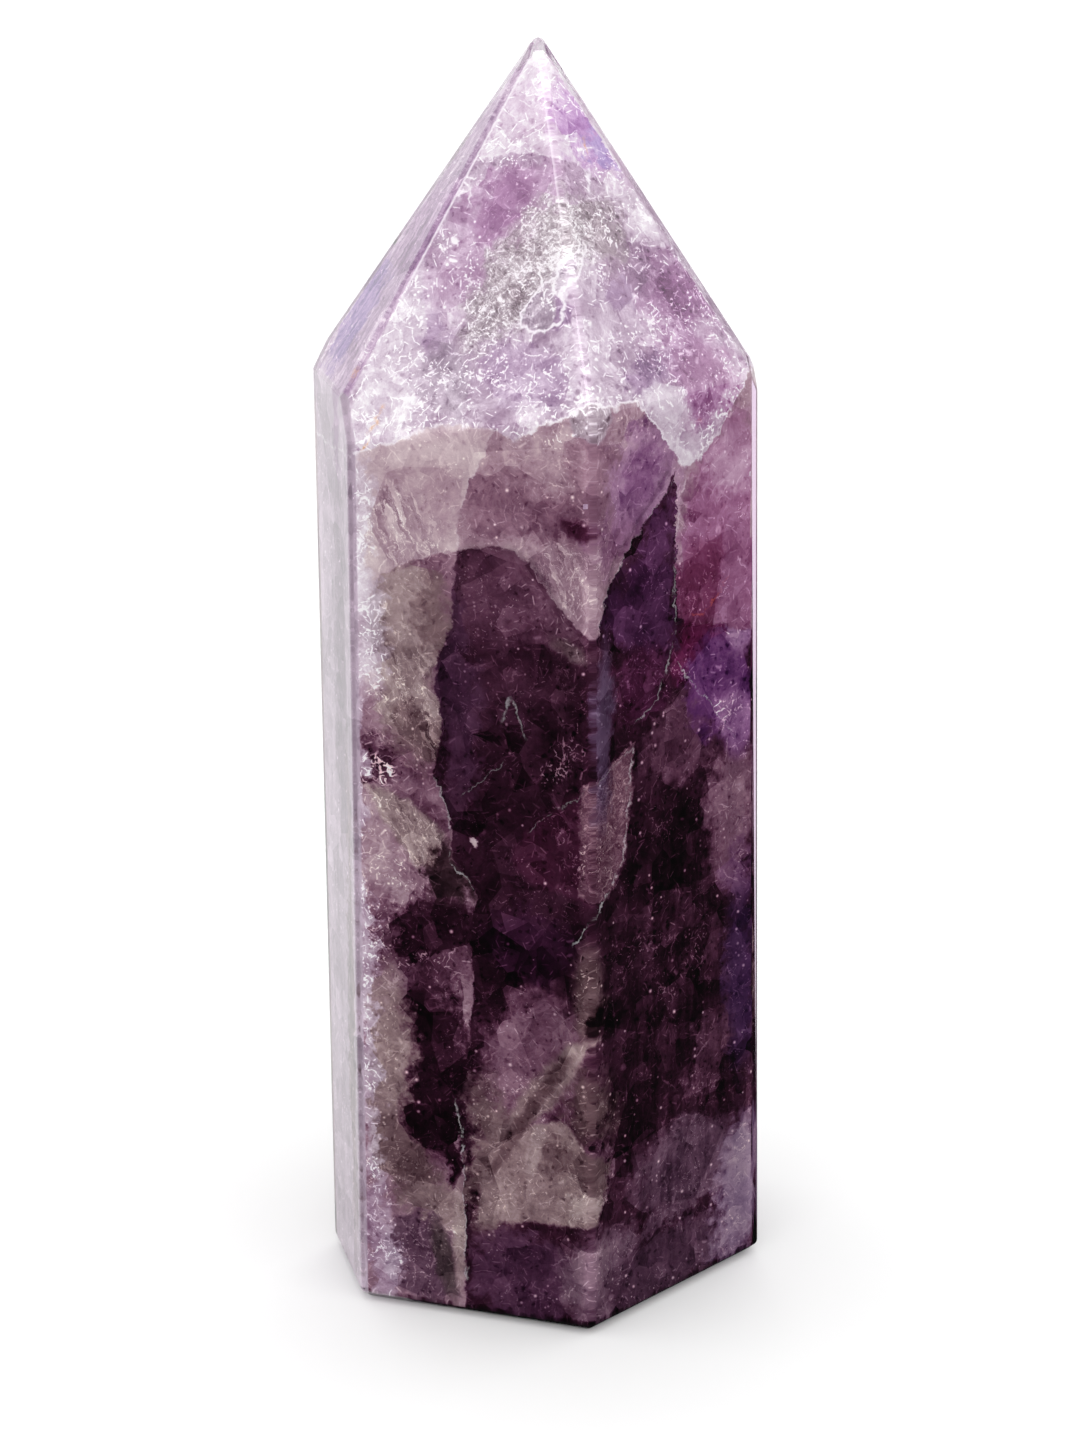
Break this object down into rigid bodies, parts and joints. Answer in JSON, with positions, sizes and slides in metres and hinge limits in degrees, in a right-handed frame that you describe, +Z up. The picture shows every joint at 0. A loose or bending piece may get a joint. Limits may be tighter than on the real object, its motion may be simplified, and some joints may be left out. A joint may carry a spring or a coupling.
{
  "type": "amethyst generator",
  "caption": "Polished amethyst tower crystal: a tapering hexagonal prism with a faceted point that stands upright on its flat sawn base.",
  "frame": {"origin": "centre of the outline, on the flat base", "axes": "+Z up from the base to the point; -Y faces the viewer, between the two widest side facets"},
  "size_m": [0.0432, 0.0406, 0.1198],
  "materials": {
    "amethyst": "polished, see-through where clear, with dark violet zones, milky clouds and bright internal fractures"
  },
  "bodies": {
    "root": {"amethyst_crystal": "amethyst"}
  },
  "joints": []
}
